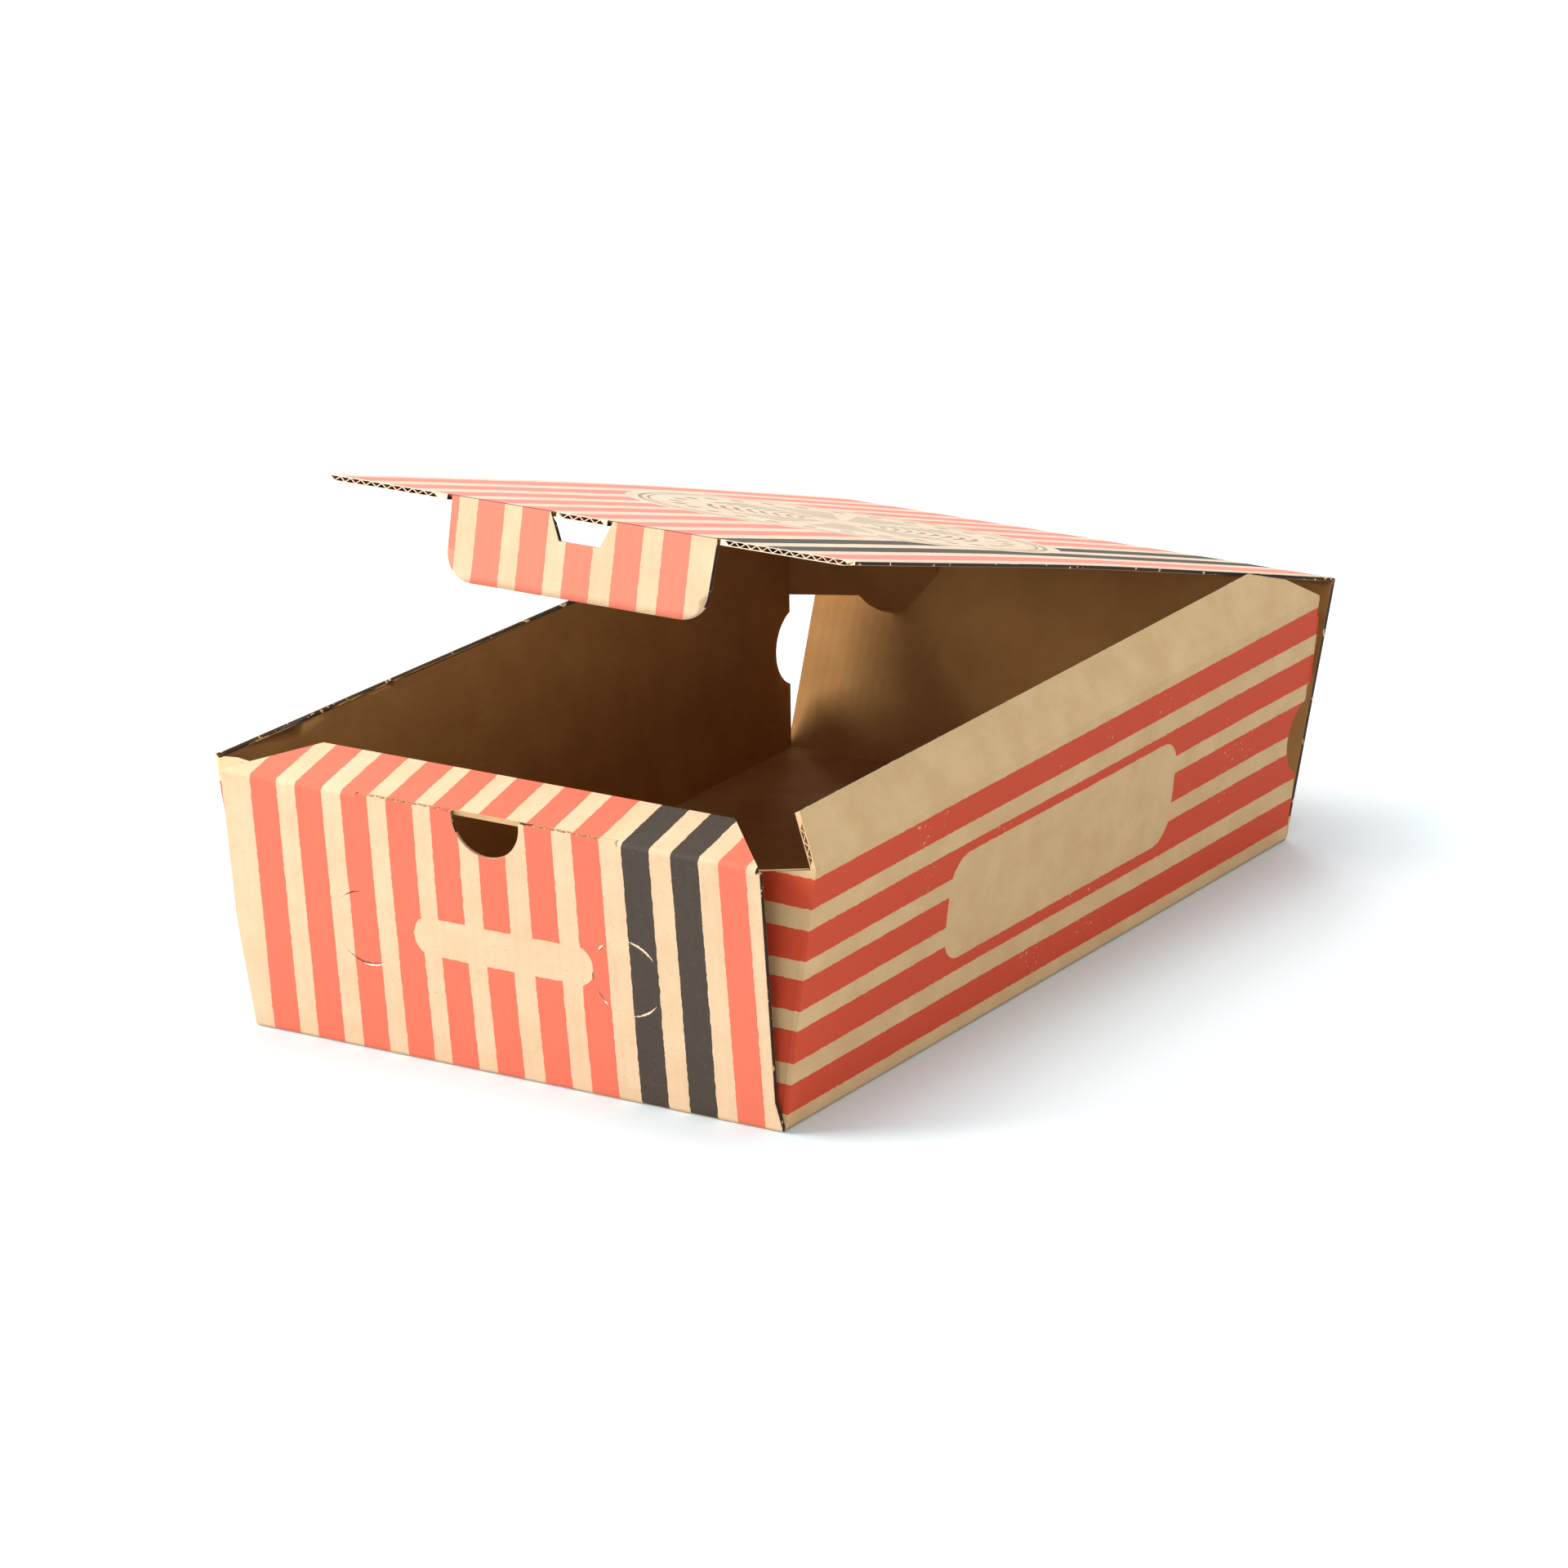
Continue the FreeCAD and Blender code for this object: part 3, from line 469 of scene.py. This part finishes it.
# Noises over object space in metres. A feature's size is about 1 / scale: fibres 0.4 mm, cloudy formation
# 12 mm, torn bits 2.4 mm, ink edge 1.9 mm, flakes 1.1 mm, groups of flakes 26 mm.
grain = {
    "fibre": {"Scale": 2400.0, "Detail": 2.0, "Roughness": 0.6},
    "cloud": {"Scale": 80.0, "Detail": 3.0, "Roughness": 0.55},
    "torn": {"Scale": 420.0, "Detail": 2.0},
    "wobble": {"Scale": 520.0, "Detail": 2.0},
    "flake": {"Scale": 900.0, "Detail": 1.0},
    "group": {"Scale": 38.0, "Detail": 1.0},
}
# Left edges and width of the stripes across the front, bands below the side's crease, and the bare fields,
# in millimetres.
layout = {
    "redEdges": (-76.3, -62.0, -47.5, -33.3, -19.4, -5.1, 9.8, 24.3, 68.8),
    "blackEdges": (39.5, 54.4),
    "width": 8.4,
    "bands": ((2.9, 11.3), (17.2, 25.8), (31.0, 39.7), (45.2, 54.3), (60.2, 68.5)),
    "frontPlaque": {"centre": (0.2, 35.6), "half": (20.6, 5.4), "corner": 1.2, "lobe": (21.9, 5.9)},
    "sidePlaque": {"centre": (0.6, 35.4), "half": (59.6, 15.2), "corner": 8.5, "lobe": None},
    # the lid's round field: two rings, a wreath of dots and a wheel of hatched wedges
    "lidPlaque": {"centre": (-4.0, 139.0), "radius": 60.0, "rings": ((56.0, 0.6), (53.6, 0.35)),
                  "dots": {"count": 28.0, "away": 46.0, "radius": 2.1},
                  "wedges": {"count": 9.0, "share": 0.36, "middle": 24.0, "half": 14.5, "hatch": 3.6,
                             "inked": 0.42}},
}


def boardMaterial(name, values):
    # The board's surface: liner colour with fibres, ink where the masks say, ribs and fibres as bump.
    material = bpy.data.materials.new(name)
    material.use_nodes = True
    tree = material.node_tree
    tree.nodes.clear()

    def calc(operation, a, b=0.0, c=None):
        sockets = {0: a, 1: b}
        if c is not None:
            sockets[2] = c
        return addNode(tree, "ShaderNodeMath", sockets, operation=operation).outputs[0]

    def mixed(amount, first, second):
        return addNode(tree, "ShaderNodeMix", {0: amount, 6: first, 7: second}, data_type="RGBA").outputs[2]

    def ramped(value, low, high, start, end):
        return addNode(tree, "ShaderNodeMapRange", {0: value, 1: low, 2: high, 3: start, 4: end}).outputs[0]

    def noise(label):
        return addNode(tree, "ShaderNodeTexNoise", {"Vector": where, **grain[label]}).outputs[0]

    def length(a, b):
        return calc("SQRT", calc("ADD", calc("MULTIPLY", a, a), calc("MULTIPLY", b, b)))

    def bar(plaque, a, b):
        # bar with rounded corners: distance of |p| - (half - corner) kept above zero, less the corner;
        # a round lobe may stand at each end
        a = calc("ABSOLUTE", calc("SUBTRACT", a, plaque["centre"][0]))
        b = calc("ABSOLUTE", calc("SUBTRACT", b, plaque["centre"][1]))
        qa = calc("MAXIMUM", calc("SUBTRACT", a, plaque["half"][0] - plaque["corner"]), 0.0)
        qb = calc("MAXIMUM", calc("SUBTRACT", b, plaque["half"][1] - plaque["corner"]), 0.0)
        shape = calc("LESS_THAN", length(qa, qb), plaque["corner"])
        if plaque["lobe"]:
            far = length(calc("SUBTRACT", a, plaque["lobe"][0]), b)
            shape = calc("MAXIMUM", shape, calc("LESS_THAN", far, plaque["lobe"][1]))
        return shape

    def wheel(plaque, a, b):
        # the field and what is drawn in it, from the distance and the turn about its centre
        a = calc("SUBTRACT", a, plaque["centre"][0])
        b = calc("SUBTRACT", b, plaque["centre"][1])
        r = length(a, b)
        turn = calc("DIVIDE", calc("ARCTAN2", b, a), 2 * math.pi)
        (firstRing, firstHalf), (nextRing, nextHalf) = plaque["rings"]
        drawn = calc("MAXIMUM", calc("COMPARE", r, firstRing, firstHalf), calc("COMPARE", r, nextRing, nextHalf))
        dots, wedges = plaque["dots"], plaque["wedges"]
        spot = calc("SUBTRACT", calc("FRACT", calc("MULTIPLY", turn, dots["count"])), 0.5)
        spot = calc("MULTIPLY", spot, 2 * math.pi * dots["away"] / dots["count"])
        far = length(spot, calc("SUBTRACT", r, dots["away"]))
        drawn = calc("MAXIMUM", drawn, calc("LESS_THAN", far, dots["radius"]))
        wedge = calc("SUBTRACT", calc("FRACT", calc("MULTIPLY", turn, wedges["count"])), 0.5)
        wedge = calc("MULTIPLY", calc("LESS_THAN", calc("ABSOLUTE", wedge), wedges["share"]),
                     calc("COMPARE", r, wedges["middle"], wedges["half"]))
        hatch = calc("LESS_THAN", calc("FRACT", calc("DIVIDE", r, wedges["hatch"])), wedges["inked"])
        drawn = calc("MAXIMUM", drawn, calc("MULTIPLY", wedge, hatch))
        return calc("LESS_THAN", r, plaque["radius"]), drawn

    where = addNode(tree, "ShaderNodeTexCoord").outputs["Object"]
    blank = addNode(tree, "ShaderNodeUVMap", uv_map="blank").outputs[0]
    parts = addNode(tree, "ShaderNodeSeparateXYZ", {0: blank})
    across, along = parts.outputs[0], parts.outputs[1]
    fibre = noise("fibre")
    surface = mixed(ramped(noise("cloud"), *kraft["cloudShare"]), linear(values["liner"]),
                    linear(values["linerDark"]))
    surface = mixed(ramped(fibre, *kraft["fibreShare"]), surface, linear(kraft["fibre"]))
    if values.get("hollow"):
        # a raw edge along the flutes: two liners with the hollow between painted dark as its shade, and bits of
        # the flute in it
        depth = addNode(tree, "ShaderNodeUVMap", uv_map="depth").outputs[0]
        through = addNode(tree, "ShaderNodeSeparateXYZ", {0: depth}).outputs[0]
        hollow = calc("COMPARE", through, *kraft["hollow"])
        hollow = calc("MULTIPLY", hollow, calc("LESS_THAN", noise("torn"), kraft["open"]))
        surface = mixed(hollow, surface, linear(kraft["coreShade"]))
    if values.get("inks"):
        # the ink's edge follows the fibres a little
        shift = calc("MULTIPLY", calc("SUBTRACT", noise("wobble"), 0.5), ink["edge"] * 2)
        a, b = calc("ADD", across, shift), calc("ADD", along, shift)
        bare = drawn = None
        if values.get("frontField"):
            bare = bar(values["frontField"], a, b)
        if values.get("sideField"):
            bare = bar(values["sideField"], b, a)
        if values.get("roundField"):
            bare, drawn = wheel(values["roundField"], a, b)
        worn = ramped(fibre, *ink["wear"])
        if values.get("flecks"):
            flake = calc("MULTIPLY", calc("GREATER_THAN", noise("flake"), ink["flake"]),
                         calc("GREATER_THAN", noise("group"), ink["group"]))
            worn = calc("MULTIPLY", worn, calc("SUBTRACT", 1.0, calc("MULTIPLY", flake, ink["lost"])))
        for colour, stripes in values["inks"].items():
            mask = None
            for middle, half in stripes:
                one = calc("COMPARE", a, middle, half)
                mask = one if mask is None else calc("MAXIMUM", mask, one)
            if bare is not None:
                mask = calc("MULTIPLY", mask, calc("SUBTRACT", 1.0, bare))
            surface = mixed(calc("MULTIPLY", mask, worn), surface, linear(ink[colour]))
        if drawn is not None:
            drawn = calc("MULTIPLY", calc("MULTIPLY", drawn, worn), ink["artSheenShare"])
            surface = mixed(drawn, surface, linear(ink["black"]))
    if values.get("vents"):
        # the vents' torn arcs, light liner or painted shade of the tear: |r + ragged - radius - outwards| < width
        # * (1 - ((turn - middle) / half)^2)
        vent = trayValues["vent"]
        ragged = calc("MULTIPLY", calc("SUBTRACT", fibre, 0.5), 0.9)
        for x, arcs in zip(vent["x"], trayValues["arcs"]):
            aside = calc("SUBTRACT", across, x)
            above = calc("SUBTRACT", sheet["front"] - vent["up"], along)
            r = calc("ADD", length(aside, above), ragged)
            turn = calc("MULTIPLY", calc("ARCTAN2", above, aside), 180 / math.pi)
            for middle, half, wide, outwards, light in arcs:
                share = calc("DIVIDE", calc("SUBTRACT", turn, middle), half)
                limit = calc("MULTIPLY", calc("SUBTRACT", 1.0, calc("MULTIPLY", share, share)), wide)
                gap = calc("ABSOLUTE", calc("SUBTRACT", r, vent["radius"] + outwards))
                shown = linear(kraft["torn"] if light else kraft["coreShade"])
                surface = mixed(calc("LESS_THAN", gap, limit), surface, shown)
    # faint ribs of the flutes under the liner, and the fibres' roughness
    rib = calc("SINE", calc("MULTIPLY", across, 2 * math.pi / kraft["rib"]))
    height = calc("ADD", calc("MULTIPLY", rib, kraft["ribHeight"]), calc("MULTIPLY", fibre, kraft["fibreHeight"]))
    bump = addNode(tree, "ShaderNodeBump", {"Height": height, "Distance": 0.001, "Strength": 1.0})
    shader = addNode(tree, "ShaderNodeBsdfPrincipled", {
        "Base Color": surface, "Roughness": values.get("roughness", kraft["roughness"]), "IOR": kraft["ior"],
        "Normal": bump.outputs[0]})
    addNode(tree, "ShaderNodeOutputMaterial", {0: shader.outputs[0]})
    return material


# Stripes as middles and halves, for each ink.
half = layout["width"] / 2
redStripes = [(x + half, half) for x in layout["redEdges"]]
blackStripes = [(x + half, half) for x in layout["blackEdges"]]
sideBands = [((a + b) / 2, (b - a) / 2) for a, b in layout["bands"]]


def liners(plain, dark, **more):
    return {"liner": kraft[plain], "linerDark": kraft[dark], **more}


frontPrint = boardMaterial("kraftPrintedFrontSheen", liners(
    "face", "faceDark", inks={"redWithSheen": redStripes, "black": blackStripes}, frontField=layout["frontPlaque"],
    vents=True))
sidePrint = boardMaterial("kraftPrintedSideShaded", liners(
    "side", "sideDark", inks={"sideRedShaded": sideBands}, sideField=layout["sidePlaque"], flecks=True))
lidPrint = boardMaterial("kraftPrintedLidSheen", liners(
    "lid", "lidDarkSheen", inks={"lidRedSheen": redStripes, "black": blackStripes}, roundField=layout["lidPlaque"]))
tuckPrint = boardMaterial("kraftPrintedTuckSheen", liners("face", "faceDark", inks={"tuckRedSheen": redStripes}))
insideKraftWithShade = boardMaterial("kraftInsideWithShade", liners("insideWithShade", "insideDarkWithShade", roughness=kraft["insideRoughness"]))
edgeAlong = boardMaterial("kraftEdgeAlongFlutes", liners("edge", "edge", hollow=True))
edgeAcross = boardMaterial("kraftEdgeAcrossFlutes", liners("edgeCut", "edge"))
lidEdgeAlong = boardMaterial("kraftLidEdgeAlongFlutes", liners("lidEdge", "lidEdge", hollow=True))
lidEdgeAcross = boardMaterial("kraftLidEdgeAcrossFlutes", liners("lidEdgeCut", "lidEdge"))
for piece, first, rawAlong, rawAcross in ((tray, frontPrint, edgeAlong, edgeAcross),
                                          (lid, lidPrint, lidEdgeAlong, lidEdgeAcross),
                                          (tuck, tuckPrint, lidEdgeAlong, lidEdgeAcross)):
    for material in (first, sidePrint, insideKraftWithShade, rawAlong, rawAcross):
        piece.data.materials.append(material)
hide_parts("tray")
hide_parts("lid")
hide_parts("tuck_flap")
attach(tray, "tray")
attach(lid, "lid")
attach(tuck, "tuck_flap")
print("board dressed")


# Pale floor and soft studio light, in metres and watts.
studio = {
    # to the camera the floor is tinted blue-green, against the red light that the box bounces into its shadow
    "floorHalf": 6, "floorColour": "E8E8E8", "floorSeen": "E2EDF1",
    # what the camera sees of the floor is lifted to plain white away from the box's foot by a painted glow,
    # which also cuts the cast shadow short: height of each rise, and the distances that it starts and ends at
    "foot": (0.085, 0.138, 0.0), "paintedLift": ((0.34, 0.008, 0.068), (0.6, 0.4, 1.6)),
    "world": 0.36, "worldColour": "FFFFFF", "lampColour": "FFFFFF", "aim": (0, 0, 0.06),
    "lamps": {
        "key": {"place": (-2.5, -1.2, 1.3), "size": 2.2, "power": 147},
        "front": {"place": (0.4, -2.8, 0.9), "size": 1.4, "power": 8},
        "fill": {"place": (2.7, -0.7, 0.6), "size": 1.0, "power": 13},
        "top": {"place": (0.1, 0.5, 2.4), "size": 1.6, "power": 28},
        "rear": {"place": (-1.4, 1.9, 1.3), "size": 1.0, "power": 18},
    },
}
# studio paper: matt and white, with the shadow left in it near the box; to the camera it is tinted against the
# red light bounced into the shadow, and a painted glow whitens it further out
h = studio["floorHalf"]
floorMesh = bpy.data.meshes.new("studioFloor")
floorMesh.from_pydata([(-h, -h, 0), (h, -h, 0), (h, h, 0), (-h, h, 0)], [], [(0, 1, 2, 3)])
floor = bpy.data.objects.new("studioFloor", floorMesh)
bpy.context.scene.collection.objects.link(floor)
paper = bpy.data.materials.new("studioPaper")
paper.use_nodes = True
tree = paper.node_tree
tree.nodes.clear()
path = addNode(tree, "ShaderNodeLightPath")
matt = addNode(tree, "ShaderNodeBsdfDiffuse", {"Color": linear(studio["floorColour"])})
seen = addNode(tree, "ShaderNodeBsdfDiffuse", {"Color": linear(studio["floorSeen"])})
# distance from the foot = length of max(|p| - foot, 0)
away = addNode(tree, "ShaderNodeNewGeometry").outputs["Position"]
away = addNode(tree, "ShaderNodeVectorMath", {0: away}, operation="ABSOLUTE").outputs[0]
away = addNode(tree, "ShaderNodeVectorMath", {0: away, 1: studio["foot"]}, operation="SUBTRACT").outputs[0]
away = addNode(tree, "ShaderNodeVectorMath", {0: away, 1: (0, 0, 0)}, operation="MAXIMUM").outputs[0]
away = addNode(tree, "ShaderNodeVectorMath", {0: away}, operation="LENGTH").outputs["Value"]
# painted light: an emission on the floor that rises with the distance from the box
raised = [addNode(tree, "ShaderNodeMapRange", {0: away, 1: first, 2: last, 3: 0.0, 4: height},
                  interpolation_type="SMOOTHSTEP").outputs[0] for height, first, last in studio["paintedLift"]]
raised = addNode(tree, "ShaderNodeMath", {0: raised[0], 1: raised[1]}, operation="ADD").outputs[0]
paintedGlow = addNode(tree, "ShaderNodeEmission", {"Strength": raised})
lifted = addNode(tree, "ShaderNodeAddShader", {0: seen.outputs[0], 1: paintedGlow.outputs[0]})
mixed = addNode(tree, "ShaderNodeMixShader", {0: path.outputs["Is Camera Ray"], 1: matt.outputs[0],
                                              2: lifted.outputs[0]})
addNode(tree, "ShaderNodeOutputMaterial", {0: mixed.outputs[0]})
floorMesh.materials.append(paper)

# the backdrop is plain white to the camera and a soft sky to everything else
world = bpy.data.worlds.new("studioWorld")
bpy.context.scene.world = world
world.use_nodes = True
tree = world.node_tree
tree.nodes.clear()
path = addNode(tree, "ShaderNodeLightPath")
soft = addNode(tree, "ShaderNodeBackground", {"Color": linear(studio["worldColour"]),
                                              "Strength": studio["world"]})
white = addNode(tree, "ShaderNodeBackground", {"Color": (1, 1, 1, 1), "Strength": 1.0})
mixed = addNode(tree, "ShaderNodeMixShader", {0: path.outputs["Is Camera Ray"], 1: soft.outputs[0],
                                              2: white.outputs[0]})
addNode(tree, "ShaderNodeOutputWorld", {0: mixed.outputs[0]})
for name, values in studio["lamps"].items():
    data = bpy.data.lights.new(name, "AREA")
    data.shape = "DISK"
    data.size = values["size"]
    data.energy = values["power"]
    data.color = linear(studio["lampColour"])[:3]
    lamp = bpy.data.objects.new(name, data)
    bpy.context.scene.collection.objects.link(lamp)
    lamp.location = values["place"]
    aim = Vector(studio["aim"]) - Vector(values["place"])
    lamp.rotation_mode = "QUATERNION"
    lamp.rotation_quaternion = aim.to_track_quat("-Z", "Y")
print("studio lit")
